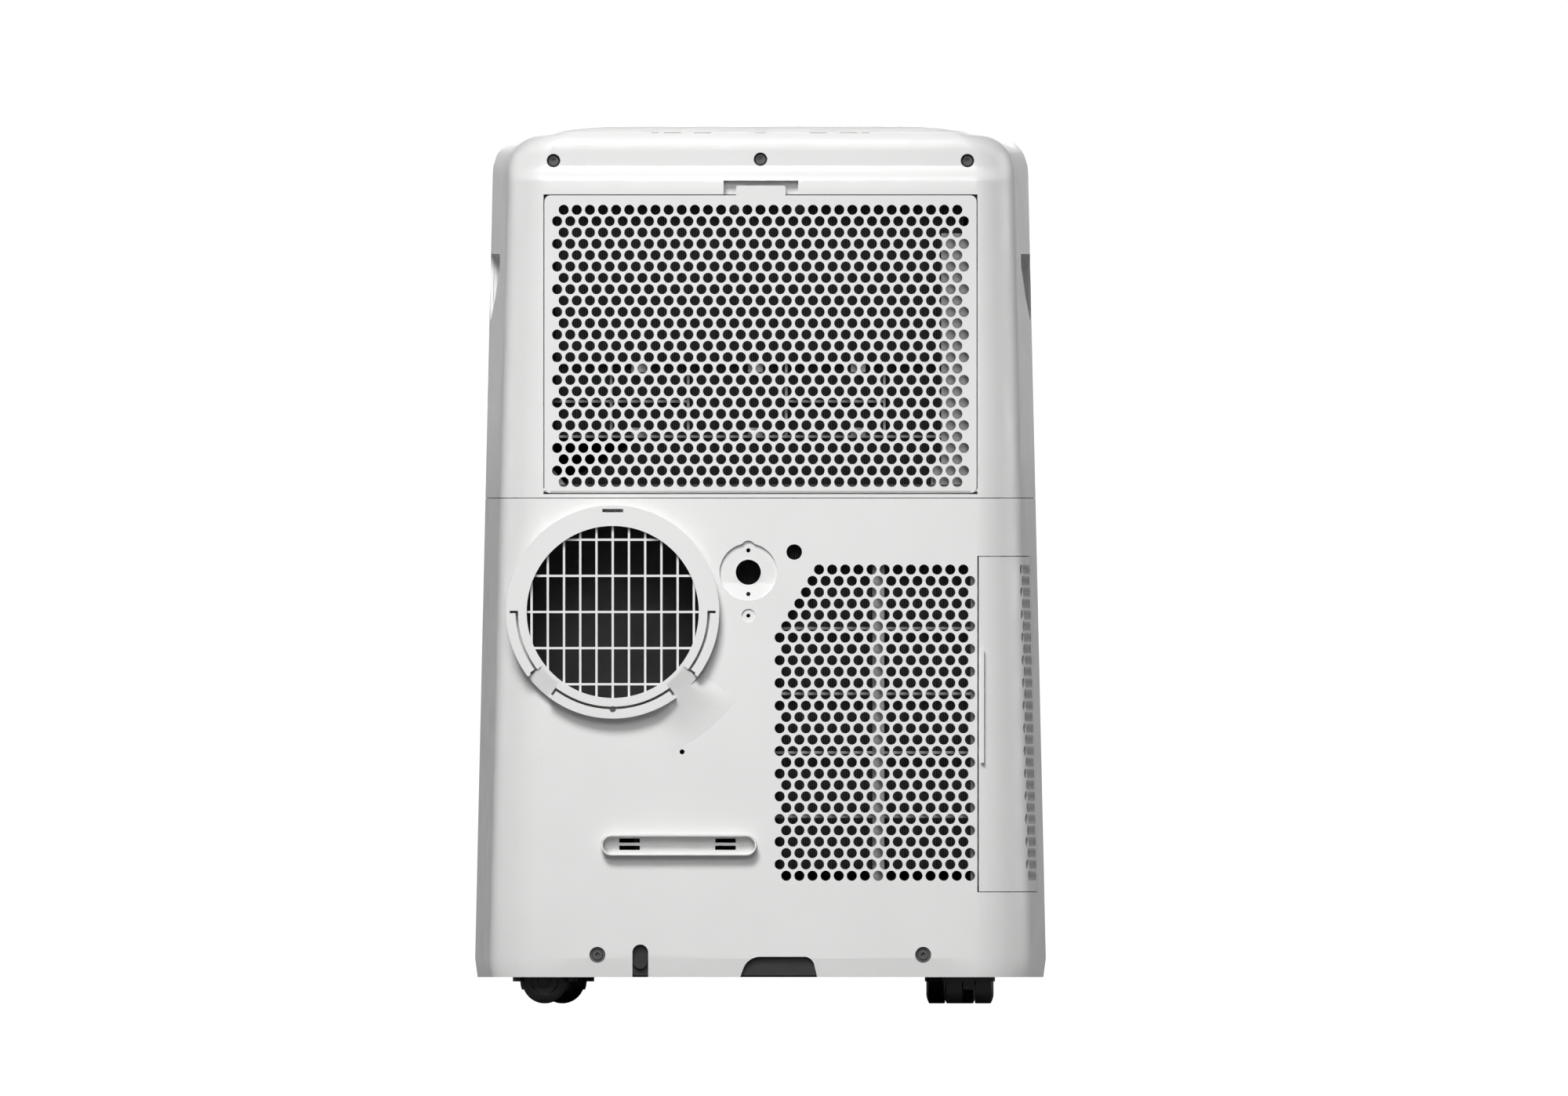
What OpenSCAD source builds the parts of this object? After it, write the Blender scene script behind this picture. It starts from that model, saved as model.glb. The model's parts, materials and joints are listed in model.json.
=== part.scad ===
// Portable room air conditioner on twin-wheel casters.
// Frame: +Z up, the service side (filters and exhaust) faces -Y, the air outlet faces +Y.
// The origin is on the floor, under the middle of the body. Millimetres.

/* [Body] */
// Greatest width, just above the skirt bevel
body_w = 455; // [450:1:460]
// Height over everything, casters included
body_h = 700; // [698:1:706]
// Depth from the service face to the front of the body
body_d = 350; // [348:1:354]
// Height of the skirt's lower edge above the floor
skirt_z = 21; // [20:0.5:21]
// Thickness of the moulded walls
wall = 2.5; // [2.2:0.1:2.8]
// How much the half width shrinks per millimetre of height
taper = 0.0225; // [0.015:0.0005:0.024]
// Height of the seam between the two service covers
seam_z = 403; // [402.6:0.1:403.4]

/* [Exhaust] */
// Outer radius of the exhaust collar
collar_r = 85; // [84:0.5:86]
// Inner radius of the exhaust duct
duct_r = 68.6; // [67:0.2:69]
// How far the collar stands out of the service face
collar_proud = 12; // [10:0.5:12]
// Width of one bar of the exhaust grid
grid_bar = 1.8; // [1.4:0.1:2.4]

/* [Perforation] */
// Diameter of one air hole
hole_d = 8.1; // [7:0.1:8.2]
// Distance between holes along a row
hole_pitch = 10.46; // [10.4:0.02:10.5]
// Distance between rows
row_pitch = 9.04; // [9:0.02:9.06]

/* [Filters] */
// Half the width of the upper filter opening
filter_half_w = 173; // [172:0.5:174]
// Bottom of the upper filter opening
filter_z0 = 406; // [405.8:0.1:406]
// Top of the upper filter opening
filter_z1 = 645; // [645:0.1:646]
// Bottom of the side filter door
door_z0 = 88.7; // [86:0.1:92]
// Top of the side filter door
door_z1 = 356.8; // [352:0.1:360]

/* [Casters] */
// Radius of a caster wheel
wheel_r = 18; // [17.5:0.1:18]
// Width of one wheel of a pair
wheel_w = 15.5; // [14:0.1:15.5]
// Distance of the axle behind the swivel axis
trail = 6; // [4:0.5:6]

/* [Hidden] */
$fn = 48;

eps = 0.01;
service_y = collar_proud - (body_d + collar_proud) / 2;  // plane of the service face
front_y = service_y + body_d;
split_y = 80;            // rear covers in front of this plane, front shell behind it
widest_y = 60;           // where the plan is widest
corner_y = -124;         // where the rear corner meets the side
flat_x = 171;            // half width of the flat service face
side_rake = 11.2;        // how much narrower the rear corner is than the widest place
bevel_z = 36;            // top of the skirt bevel
bevel_in = 2;
dome_z = 660;            // the top starts to round here
shoulder_z0 = 655;
shoulder_z1 = 668;
shoulder_in = 6;
crown_z = 680;
crown_r = 20;
cap_z = 694;             // seam of the top cover
seam_gap = 0.6;

// ---- plan outline of the body at a height, inset by i ----

function smooth(t) = t <= 0 ? 0 : t >= 1 ? 1 : t * t * (3 - 2 * t);
function quarter(t) = 1 - sqrt(max(0, 1 - t * t));
function half_w(z) = z < bevel_z
    ? body_w / 2 - bevel_in * (bevel_z - z) / (bevel_z - skirt_z)
    : body_w / 2 - taper * (z - bevel_z);
function dome(z) = z <= dome_z ? 1
    : max(0.5, pow(max(0, 1 - pow((z - dome_z) / (body_h - dome_z), 2.5)), 0.12));
function rear_y(z) = service_y
    + bevel_in * max(0, bevel_z - z) / (bevel_z - skirt_z)
    + shoulder_in * smooth((z - shoulder_z0) / (shoulder_z1 - shoulder_z0))
    + crown_r * quarter(max(0, z - crown_z) / (body_h - crown_z));
function nose_y(z) = front_y
    - bevel_in * max(0, bevel_z - z) / (bevel_z - skirt_z)
    - 40 * quarter(max(0, z - dome_z) / (body_h - dome_z));

plan_power = 2.6;
function nose_x(y, z, i) = dome(z) * (half_w(z) - i)
    * pow(1 - pow((y - widest_y) / (nose_y(z) - i - widest_y), plan_power), 1 / plan_power);
function nose_point(a, z, i) = [
    dome(z) * (half_w(z) - i) * pow(cos(a), 2 / plan_power),
    widest_y + (nose_y(z) - i - widest_y) * pow(sin(a), 2 / plan_power)];
function nose_angle(y, z, i) = asin(pow((y - widest_y) / (nose_y(z) - i - widest_y), plan_power / 2));

function corner_point(a, z, i) = [
    dome(z) * (flat_x + (half_w(z) - side_rake - i - flat_x) * cos(a)),
    corner_y - (corner_y - rear_y(z) - i) * sin(a)];
function mirror_x(p) = [-p[0], p[1]];

corner_steps = 15;
nose_steps = 18;
function rear_points(z, i) = concat(
    [[-dome(z) * (half_w(z) - i), widest_y]],
    [for (k = [0:corner_steps]) mirror_x(corner_point(90 * k / corner_steps, z, i))],
    [for (k = [corner_steps:-1:0]) corner_point(90 * k / corner_steps, z, i)],
    [[dome(z) * (half_w(z) - i), widest_y]]);
function nose_points(a0, z, i) = concat(
    [for (k = [0:nose_steps - 1]) nose_point(a0 + (90 - a0) * k / nose_steps, z, i)],
    [[0, nose_y(z) - i]],
    [for (k = [nose_steps - 1:-1:0]) mirror_x(nose_point(a0 + (90 - a0) * k / nose_steps, z, i))]);

function rear_plan(z, i, y_end = split_y) =
    concat([[-nose_x(y_end, z, i), y_end]], rear_points(z, i), [[nose_x(y_end, z, i), y_end]]);
function front_plan(z, i, y_start = split_y + seam_gap) = nose_points(nose_angle(y_start, z, i), z, i);
function full_plan(z, i) = concat(rear_points(z, i), nose_points(6, z, i));
function ring(plan, z) = [for (p = plan) [p[0], p[1], z]];

// A closed skin through rings of equal length, from the lowest to the highest.
module loft(rings) {
    n = len(rings[0]);
    m = len(rings);
    polyhedron(
        points = [for (one = rings) each one],
        faces = concat(
            [[for (k = [0:n - 1]) k]],
            [[for (k = [n - 1:-1:0]) (m - 1) * n + k]],
            [for (j = [0:m - 2]) for (k = [0:n - 1])
                [j * n + k, (j + 1) * n + k, (j + 1) * n + (k + 1) % n, j * n + (k + 1) % n]]));
}

lower_levels = [skirt_z, bevel_z, 90, 145, 200, 255, 310, 360, seam_z - seam_gap / 2];
upper_levels = [seam_z + seam_gap / 2, 460, 520, 580, 640, shoulder_z0, 658, 661, 664,
    shoulder_z1, 676, crown_z, 684, 688, 691, cap_z];
cap_levels = [cap_z + seam_gap / 2, 695.6, 696.8, 697.8, 698.6, 699.3, body_h];
function inner_levels(levels) = concat([levels[0] - 6],
    [for (k = [1:len(levels) - 2]) levels[k]], [min(body_h, levels[len(levels) - 1] + 2 * wall)]);

module rear_skin(levels) {
    difference() {
        loft([for (z = levels) ring(rear_plan(z, 0), z)]);
        loft([for (z = inner_levels(levels)) ring(rear_plan(z, wall, split_y + 5), z - wall)]);
    }
}

// ---- small helpers ----

module y_cyl(r, y0, y1, x, z) { translate([x, y0, z]) rotate([-90, 0, 0]) cylinder(r = r, h = y1 - y0); }
module x_cyl(r, x0, x1, y, z) { translate([x0, y, z]) rotate([0, 90, 0]) cylinder(r = r, h = x1 - x0); }
module z_cyl(r, z0, z1, x, y) { translate([x, y, z0]) cylinder(r = r, h = z1 - z0); }
module block(x0, x1, y0, y1, z0, z1) { translate([x0, y0, z0]) cube([x1 - x0, y1 - y0, z1 - z0]); }
// A flat shape drawn in X and Z, thick in Y.
module plate_y(y0, y1) { translate([0, y1, 0]) rotate([90, 0, 0]) linear_extrude(y1 - y0) children(); }
module rounded(x0, x1, y0, y1, r) {
    translate([x0 + r, y0]) square([x1 - x0 - 2 * r, y1 - y0]);
    translate([x0, y0 + r]) square([x1 - x0, y1 - y0 - 2 * r]);
    for (x = [x0 + r, x1 - r]) for (y = [y0 + r, y1 - r]) translate([x, y]) circle(r);
}
module stadium(w, h) { rounded(-w / 2, w / 2, -h / 2, h / 2, h / 2 - eps); }
// A straight rod from p to q.
module rod(p, q, r) {
    d = q - p;
    translate(p) rotate([0, acos(d[2] / norm(d)), atan2(d[1], d[0])]) cylinder(r = r, h = norm(d));
}
elbow_swell = 0.4;       // how much a brazed elbow is fatter than its pipe
module pipe(route, r) {
    for (k = [0:len(route) - 2]) rod(route[k], route[k + 1], r);
    for (k = [1:len(route) - 2]) translate(route[k]) sphere(r + elbow_swell);
}

plastic = [0.90, 0.90, 0.89];
dark = [0.22, 0.22, 0.23];
black = [0.08, 0.08, 0.08];
metal = [0.70, 0.71, 0.73];
copper = [0.72, 0.42, 0.28];

// ---- service covers ----

upper_rows = 25;
upper_row_z = 632.7;
lower_rows = 28;
lower_row_z = 345.9;
lower_first_x = 15.3;
lower_row_holes = 15;

collar_x = -117.8;
collar_z = 312.1;
drain_x = -9.7;
drain_z = 343.8;
drain_cup_r = 23;
hook_x = -65.1;
hook_z = 126.2;
hook_w = 124;
hook_h = 16.7;

// x, z, radius and depth of each screw recess
screw_spots = [[-165, 671.9, 5.4, 7], [0, 673, 5.4, 7], [165, 671.9, 5.4, 7],
    [-130, 38.75, 6.4, 3], [129.7, 38.75, 6.4, 3]];
boss_wall = 1.6;
screw_hole_r = 2.2;

module screw_boss(spot) {
    y = rear_y(spot[1]);
    y_cyl(spot[2] + boss_wall, y + wall / 2, y + spot[3] + boss_wall, spot[0], spot[1]);
}
module screw_recess(spot) {
    y = rear_y(spot[1]);
    y_cyl(spot[2], y - 8, y + spot[3], spot[0], spot[1]);
    y_cyl(screw_hole_r, y, y + spot[3] + 5, spot[0], spot[1]);
}

peephole = [26.9, 359.9, 6.2];   // open hole beside the drain: x, z, radius

// The side filter door hangs on a pin line that leans with the side of the body.
pin_line_y = -25;
barrel_r = 1.8;
door_pin_r = 1.2;
door_gap = 0.6;
door_x0 = 172.9;
door_lean = atan(taper);
function side_x(y, z) = half_w(z) - side_rake * (widest_y - y) / (widest_y - corner_y);
module on_pin_line(z) {
    translate([side_x(pin_line_y, z) - barrel_r, pin_line_y, z]) rotate([0, -door_lean, 0]) children();
}
door_h = door_z1 - door_z0;

module lower_grille_holes() {
    for (row = [0:lower_rows - 1])
        for (k = [max(0, floor((6 - row) / 2)):lower_row_holes - 1])
            y_cyl(hole_d / 2, service_y - 5, service_y + 5,
                lower_first_x + (k + (row % 2) / 2) * hole_pitch, lower_row_z - row * row_pitch);
}

module bottom_notches() {
    plate_y(service_y - 5, service_y + 10) {
        translate([-95.8, 40.7]) circle(6.3);
        translate([-95.8 - 6.3, 10]) square([12.6, 30.7]);
        hull() {
            translate([-16.2, 10]) square([61.4, 11]);
            translate([-0.5, 23.2]) circle(14);
            translate([35, 29.2]) circle(8);
        }
    }
}

module rear_lower_cover() {
    color(plastic)
    difference() {
        union() {
            rear_skin(lower_levels);
            for (k = [3:4]) screw_boss(screw_spots[k]);
            y_cyl(peephole[2] + boss_wall, service_y + 1, service_y + 9, peephole[0], peephole[1]);
            for (z = [door_z0 - 6, door_z1 + door_gap])
                on_pin_line(z) translate([-5, -4, 0]) cube([6.2, 10, 5.4]);
        }
        y_cyl(duct_r + duct_wall + 0.1, service_y - 5, service_y + 16, collar_x, collar_z);
        y_cyl(drain_cup_r, service_y - 5, service_y + 5, drain_x, drain_z);
        y_cyl(5.4, service_y - 5, service_y + 5, drain_x, drain_z + 19.9);
        y_cyl(5.4, service_y - 5, service_y + 1.4, drain_x, drain_z - 34.6);
        y_cyl(1.6, service_y - 5, service_y + 5, drain_x, drain_z - 34.6);
        y_cyl(2, service_y - 5, service_y + 5, -62.5, 200.6);
        translate([hook_x, 0, hook_z])
            plate_y(service_y - 5, service_y + 5) stadium(hook_w + 0.2, hook_h + 0.2);
        for (k = [3:4]) screw_recess(screw_spots[k]);
        y_cyl(peephole[2], service_y - 5, service_y + 10, peephole[0], peephole[1]);
        lower_grille_holes();
        bottom_notches();
        block(door_x0, 260, service_y - 10, pin_line_y + barrel_r + 0.3, door_z0, door_z1);
        on_pin_line(door_z0 - 8) cylinder(r = door_pin_r + 0.05, h = door_h + 16);
    }
}

pocket_back = service_y + 12;
hinge_y = service_y + 2.5;
hinge_z = filter_z0 + 0.75 + 2.5;
filter_pin_r = 1.5;

grip_z0 = 545;
grip_z1 = 597.5;
module grip_shape(grow) {
    hull() {
        translate([-54, grip_z1 - 6]) circle(6 + grow);
        translate([54, grip_z1 - 10]) circle(10 + grow);
        translate([42, grip_z0 + 12]) circle(12 + grow);
        translate([-6, grip_z0 + 29]) circle(12 + grow);
    }
}
// The grip's outline, drawn in Y and Z, thick in X.
module grip_prism(x0, x1, grow) {
    translate([x0, 0, 0]) rotate([90, 0, 90]) linear_extrude(x1 - x0) grip_shape(grow);
}

module rear_upper_cover() {
    color(plastic)
    difference() {
        union() {
            rear_skin(upper_levels);
            for (k = [0:2]) screw_boss(screw_spots[k]);
            plate_y(service_y + wall / 2, pocket_back) difference() {
                union() {
                    translate([-filter_half_w - wall, filter_z0 - 2.4])
                        square([2 * (filter_half_w + wall), filter_z1 - filter_z0 + 4.4]);
                    translate([-32, filter_z1]) square([64.5, 13.5]);
                }
                translate([-filter_half_w, filter_z0]) square([2 * filter_half_w, filter_z1 - filter_z0]);
            }
        }
        block(-filter_half_w, filter_half_w, service_y - 5, service_y + 20, filter_z0, filter_z1);
        block(-29.4, 30, service_y - 5, service_y + 9.5, filter_z1 - 1, 656);
        x_cyl(filter_pin_r + 0.05, -filter_half_w - wall - 0.5,
            filter_half_w + wall + 0.5, hinge_y, hinge_z);
        for (k = [0:2]) screw_recess(screw_spots[k]);
        grip_prism(150, 260, 0);
        grip_prism(-260, -150, 0);
    }
}

// Finger cups behind the two side grips, each closed at its back.
module side_grips() {
    color(plastic)
    for (side = [-1, 1]) mirror([side < 0 ? 1 : 0, 0, 0])
        intersection() {
            difference() {
                grip_prism(178, 230, 2.4);
                grip_prism(180.4, 231, 0);
            }
            loft([for (z = [535, 610]) ring(rear_plan(z, wall + 0.2), z)]);
        }
}

module cover_screws() {
    color(metal)
    for (spot = screw_spots) {
        y = rear_y(spot[1]) + spot[3];
        difference() {
            y_cyl(3.9, y - 2.4, y, spot[0], spot[1]);
            translate([spot[0], y - 3, spot[1]]) rotate([-90, 0, 0]) cylinder(r = 2, h = 2.4, $fn = 6);
        }
        y_cyl(1.9, y - 0.1, y + 12, spot[0], spot[1]);
    }
}

// ---- exhaust ----

collar_front = service_y - collar_proud;
slot_r = 76.5;
slot_w = 2;
slot_end_r = 82;

module wedge(a0, a1, r) {
    n = 8;
    polygon(concat([[0, 0]],
        [for (k = [0:n]) r * [cos(a0 + (a1 - a0) * k / n), sin(a0 + (a1 - a0) * k / n)]]));
}
module hook_slot(a0, a1) {
    intersection() {
        difference() {
            circle(slot_r + slot_w / 2);
            circle(slot_r - slot_w / 2);
        }
        wedge(a0, a1, 110);
    }
    for (a = [a0, a1]) rotate(a) translate([slot_r - slot_w / 2, -slot_w / 2])
        square([slot_end_r - slot_r + slot_w / 2, slot_w]);
}

duct_wall = 3;
duct_groove = 1.3;       // how much wider the duct is behind its lip, where the grid sits
grid_front = collar_front + 5;
tab_ends = [[-37, 0], [-126.3, -53.7], [-180, -143]];
slope_r0 = 70;           // between the tabs the collar slopes down from this radius
slope_r1 = 120;          // and reaches the face at this one
slope_inset = 0.3;       // each slope starts this many degrees inside a slot's leg
function slope_height(r) = collar_proud * pow(min(1, (slope_r1 - r) / (slope_r1 - slope_r0)), 1.5);

// Cuts the collar's face down to the slope between two angles.
module slope_cut(a0, a1) {
    rotate([90, 0, 0]) rotate([0, 0, a0]) rotate_extrude(angle = a1 - a0)
        polygon(concat([for (r = [slope_r0:3:collar_r + 3]) [r, slope_height(r) - service_y]],
            [[collar_r + 3, 3 - collar_front], [slope_r0, 3 - collar_front]]));
}
// The slope beyond the collar's edge. Its sides die away into the face.
function slope_share(a) = smooth((a + 68) / 13) * smooth((-35 - a) / 8);
module slope_run_out() {
    loft([for (a = [-68:3:-35]) [
        for (p = concat([[collar_r - 1, 0.04]],
            [for (r = [collar_r - 1:6:slope_r1]) [r, 0.12 + slope_share(a) * slope_height(r)]],
            [[slope_r1, 0.04]]))
            [p[0] * cos(a), service_y - p[1], p[0] * sin(a)]]]);
}

module exhaust_collar() {
    color(plastic)
    difference() {
        union() {
            difference() {
                y_cyl(collar_r, collar_front, corner_y - 20, collar_x, collar_z);
                // the back of the collar follows the rounded corner of the body
                translate([-side_x(corner_y, collar_z), 0, collar_z]) rotate([0, door_lean / 2, 0])
                    translate([side_x(corner_y, collar_z), 0, -120]) linear_extrude(240)
                        polygon(rear_plan(collar_z, -0.16, widest_y + 5));
                translate([collar_x, 0, collar_z]) {
                    slope_cut(tab_ends[1][1] + slope_inset, tab_ends[0][0] - slope_inset);
                    slope_cut(tab_ends[2][1] + slope_inset, tab_ends[1][0] - slope_inset);
                }
            }
            translate([collar_x, 0, collar_z]) slope_run_out();
            y_cyl(duct_r + duct_wall, grid_front - 2, -106.2, collar_x, collar_z);
        }
        y_cyl(duct_r, collar_front - 1, -100, collar_x, collar_z);
        y_cyl(duct_r + duct_groove, grid_front - 0.05, -100, collar_x, collar_z);
        translate([collar_x, 0, collar_z]) plate_y(collar_front - 1, service_y - 1) {
            for (ends = tab_ends) hook_slot(ends[0], ends[1]);
            translate([0, -slot_r - 1]) circle(2.5);
            translate([-8.3, 80.8 - 1.35]) square([16.6, 2.7]);
        }
    }
}

module exhaust_grid() {
    color(plastic)
    translate([collar_x, 0, collar_z])
    plate_y(grid_front, grid_front + 3) {
        intersection() {
            circle(duct_r + duct_groove - 0.05);
            union() {
                for (k = [-5:5])
                    translate([k * 12.94 - grid_bar / 2, -collar_r]) square([grid_bar, 2 * collar_r]);
                for (k = [-2:2])
                    translate([-collar_r, k * 28.8 - grid_bar / 2]) square([2 * collar_r, grid_bar]);
            }
        }
        difference() {
            circle(duct_r + duct_groove - 0.05);
            circle(duct_r + 0.05);
        }
    }
}

// ---- fittings of the service side ----

module cord_hook_socket() {
    color(plastic)
    translate([hook_x, 0, hook_z])
    difference() {
        union() {
            plate_y(service_y - 9, service_y + wall) stadium(hook_w, hook_h);
            plate_y(service_y + wall + 0.1, service_y + wall + 2.2) stadium(hook_w + 9, hook_h + 9);
            plate_y(service_y + wall - 0.5, service_y + wall + 0.5) stadium(hook_w, hook_h);
        }
        plate_y(service_y - 10, service_y + wall - 1) stadium(hook_w - 2.8, hook_h - 2.8);
        for (x = [-39.3, 37.2]) for (z = [-2.1, 3.7])
            translate([x - 8.15, service_y - 1, z - 1.7]) cube([16.3, 10, 3.4]);
    }
}

drain_r = 10;
drain_lean = 8.8;        // the cup's floor leans: deep at the top, nearly flush below
drain_mid_depth = 3.95;
drain_lip = 2.4;         // depth of the spout's lip
module drain_port() {
    color(plastic)
    translate([drain_x, 0, drain_z])
    difference() {
        union() {
            plate_y(service_y + wall + 0.2, service_y + wall + 2.2) circle(drain_cup_r + 6);
            difference() {
                plate_y(service_y, service_y + 10) circle(drain_cup_r - 0.1);
                translate([0, service_y + drain_mid_depth - 10 / cos(drain_lean), 0])
                    rotate([-drain_lean, 0, 0]) cube([60, 20, 80], center = true);
            }
            plate_y(service_y + drain_lip, service_y + 26) circle(drain_r + 1);
        }
        plate_y(service_y - 1, service_y + 27) circle(drain_r);
        for (z = [-17.4, 17.4]) y_cyl(1.7, service_y - 1, service_y + 12, 0, z);
    }
}

plug_z = 33;
plug_x = -95.8;
module bottom_drain_plug() {
    color(dark) {
        y_cyl(5.5, service_y + 0.9, pan_rear_y - 0.05, plug_x, plug_z);
        y_cyl(3.45, service_y + 2, pan_rear_y + 10, plug_x, plug_z);
    }
}

// ---- filters ----

module upper_grille_holes() {
    for (row = [0:upper_rows - 1])
        for (k = [0:30 + row % 2])
            y_cyl(hole_d / 2, service_y - 2, service_y + 4,
                (k - (30 + row % 2) / 2) * hole_pitch, upper_row_z - row * row_pitch);
}

frame_half_w = filter_half_w - 0.75;
frame_z0 = filter_z0 + 0.75;
frame_z1 = filter_z1 - 0.75;
tilt_r = 3.1;            // nothing below the hinge reaches further from it, so the frame clears the sill
module upper_filter_frame() {
    color(plastic)
    difference() {
        union() {
            plate_y(service_y, service_y + 5) rounded(-frame_half_w, frame_half_w, frame_z0, frame_z1, 5);
            plate_y(service_y, service_y + 3.4) rounded(-19.4, 20, frame_z1 - 6, 652, 1.5);
            x_cyl(filter_pin_r, -filter_half_w - wall + 0.2, filter_half_w + wall - 0.2, hinge_y, hinge_z);
        }
        block(-167.5, 167.5, service_y + 2.2, service_y + 6, frame_z0 + 5.3, frame_z1 - 5.8);
        difference() {
            block(-frame_half_w - 1, frame_half_w + 1, service_y - 0.1, service_y + 5.1,
                frame_z0 - 0.1, hinge_z);
            x_cyl(tilt_r, -frame_half_w - 2, frame_half_w + 2, hinge_y, hinge_z);
        }
        difference() {
            block(-frame_half_w + 5, frame_half_w - 5, service_y - 0.1, service_y + 5.1,
                frame_z0 - 0.1, hinge_z);
            x_cyl(2.5, -frame_half_w, frame_half_w, hinge_y, hinge_z);
        }
        upper_grille_holes();
    }
}

module upper_filter_net() {
    y = service_y + 2.4;
    color(dark) {
        difference() {
            block(-167.2, 167.2, y, y + 2, frame_z0 + 5.6, frame_z1 - 6.1);
            block(-165.4, 165.4, y - 1, y + 3, frame_z0 + 7, frame_z1 - 7.6);
        }
        for (row = [0:upper_rows - 2])
            block(-166, 166, y + 0.3, y + 1, upper_row_z - (row + 0.5) * row_pitch - 0.35,
                upper_row_z - (row + 0.5) * row_pitch + 0.35);
    }
}

rib = 2.2;
module h_rib(x0, x1, z, y0, y1) { block(x0, x1, y0, y1, z - rib / 2, z + rib / 2); }
module v_rib(x, z0, z1, y0, y1) { block(x - rib / 2, x + rib / 2, y0, y1, z0, z1); }

module upper_filter_guide() {
    y0 = pocket_back + 1;
    y1 = y0 + 5;
    color([0.6, 0.6, 0.6]) {
        difference() {
            block(-176, 176, y0, y1, 404.4, 647);
            block(-169, 169, y0 - 1, y1 + 1, 408, 643);
        }
        h_rib(-170, 146, 510.6, y0, y1);
        h_rib(-170, 146, 451.9, y0, y1);
        h_rib(-170, -57, 480, y0, y1);
        h_rib(20, 99.5, 480, y0, y1);
        for (x = [-119, -57.5, 20.6, 98.8]) v_rib(x, 451, 511, y0, y1);
        for (x = [-97, -4, 78]) for (z = [503, 452]) block(x - 6, x + 6, y0, y1, z, z + 7);
        block(144, 170, y0, y1, 407, 614);
        block(136, 145, y0, y1, 407, 429);
        plate_y(y0, y1) polygon([[-170, 407], [-150, 407], [-170, 432]]);
    }
}

// The door follows the corner and the side of the lower cover.
door_skin_levels = [door_z0 - 5, 130, 175, 220, 265, 310, door_z1 + 5];
door_side_rows = 28;
door_hole_y = -136;      // where the door's rows of holes start
module side_band(inset, thick) {
    difference() {
        loft([for (z = door_skin_levels) ring(rear_plan(z, inset, widest_y + 5), z)]);
        loft([for (z = [door_z0 - 7, 130, 175, 220, 265, 310, door_z1 + 9])
            ring(rear_plan(z, inset + thick, widest_y + 9), z - (inset > 0 ? 0 : wall))]);
    }
}
module lower_filter_door() {
    color(plastic)
    difference() {
        union() {
            intersection() {
                side_band(0, wall);
                block(door_x0 + 1.2, 260, service_y - 5, pin_line_y,
                    door_z0 + door_gap, door_z1 - door_gap);
            }
            on_pin_line(door_z0 + door_gap) cylinder(r = barrel_r, h = door_h - 2 * door_gap - 0.1);
            on_pin_line(door_z0 - 3.4) cylinder(r = door_pin_r, h = door_h + 6.8);
            // finger rib along the rear edge
            plate_y(service_y - 3.2, service_y + 1) rounded(175.3, 178.2, 191.7, 282.6, 1.2);
        }
        for (row = [0:door_side_rows - 1])
            for (k = [0:9 - row % 2])
                x_cyl(hole_d / 2, 190, 240, door_hole_y + (k + (row % 2) / 2) * hole_pitch,
                    lower_row_z - row * row_pitch);
    }
}

module lower_filter_net() {
    color(dark)
    intersection() {
        side_band(wall + 0.1, 1.4);
        difference() {
            block(190, 260, -121, -30, 95, 351);
            for (z = [100:41.4:345]) for (y = [-118, -88.5, -59])
                block(180, 261, y, y + 26.6, z, z + 38.2);
        }
    }
}

module lower_filter_guide() {
    y0 = service_y + 10.3;
    y1 = y0 + 4;
    color([0.6, 0.6, 0.6]) {
        difference() {
            block(3, 180, y0, y1, 94, 380);
            block(10.6, 167.5, y0 - 1, y1 + 1, 96.5, 352);
            y_cyl(peephole[2] + boss_wall + 0.4, y0 - 1, y1 + 1, peephole[0], peephole[1]);
        }
        for (z = [299, 247, 200, 149]) h_rib(10, 168, z, y0, y1);
        block(89.4, 98.8, y0, y1, 96, 353);
    }
}

// ---- base ----

pan_inset = 5;
pan_wall = 2.5;
pan_floor = 45;
pan_rear_y = service_y + pan_inset;
caster_spots = [[-166, -122, 0], [166, -122, 90], [-152, 100, 0], [152, 100, 90]];
stem_r = 5.5;
hood_top = 39.5;

module base_pan() {
    color(dark)
    difference() {
        union() {
            difference() {
                translate([0, 0, 22.4]) linear_extrude(78 - 22.4) polygon(full_plan(bevel_z, pan_inset));
                translate([0, 0, pan_floor]) linear_extrude(50)
                    polygon(full_plan(bevel_z, pan_inset + pan_wall));
                translate([0, 0, 20]) linear_extrude(pan_floor - 3 - 20)
                    polygon(full_plan(bevel_z, pan_inset + pan_wall));
            }
            for (spot = caster_spots) z_cyl(10, hood_top + 0.6, 64, spot[0], spot[1]);
            block(plug_x - 7.5, plug_x + 7.5, pan_rear_y + 1, pan_rear_y + 15, 26, pan_floor - 2);
        }
        for (spot = caster_spots) z_cyl(stem_r + 0.05, 30, 62, spot[0], spot[1]);
        for (k = [3:4])
            y_cyl(screw_hole_r, pan_rear_y - 1, pan_rear_y + 6, screw_spots[k][0], screw_spots[k][1]);
        y_cyl(3.5, pan_rear_y - 1, pan_rear_y + 12, plug_x, plug_z);
        z_cyl(2.5, plug_z, pan_floor + 1, plug_x, pan_rear_y + 8);
    }
}

module mid_deck() {
    color([0.55, 0.55, 0.56])
    difference() {
        union() {
            translate([0, 0, 388]) linear_extrude(3) polygon(full_plan(390, wall + 1.5));
            for (x = [-185, 185]) block(x - 6, x + 6, -20, -8, pan_floor, 388);
            for (x = [-150, 150]) block(x - 6, x + 6, 114, 126, pan_floor, 388);
        }
        z_cyl(6, 380, 400, -197, -120);
        z_cyl(6, 380, 400, -30, -120);
    }
}

// ---- casters, drawn with the swivel axis on Z and the axle along Y ----

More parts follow.
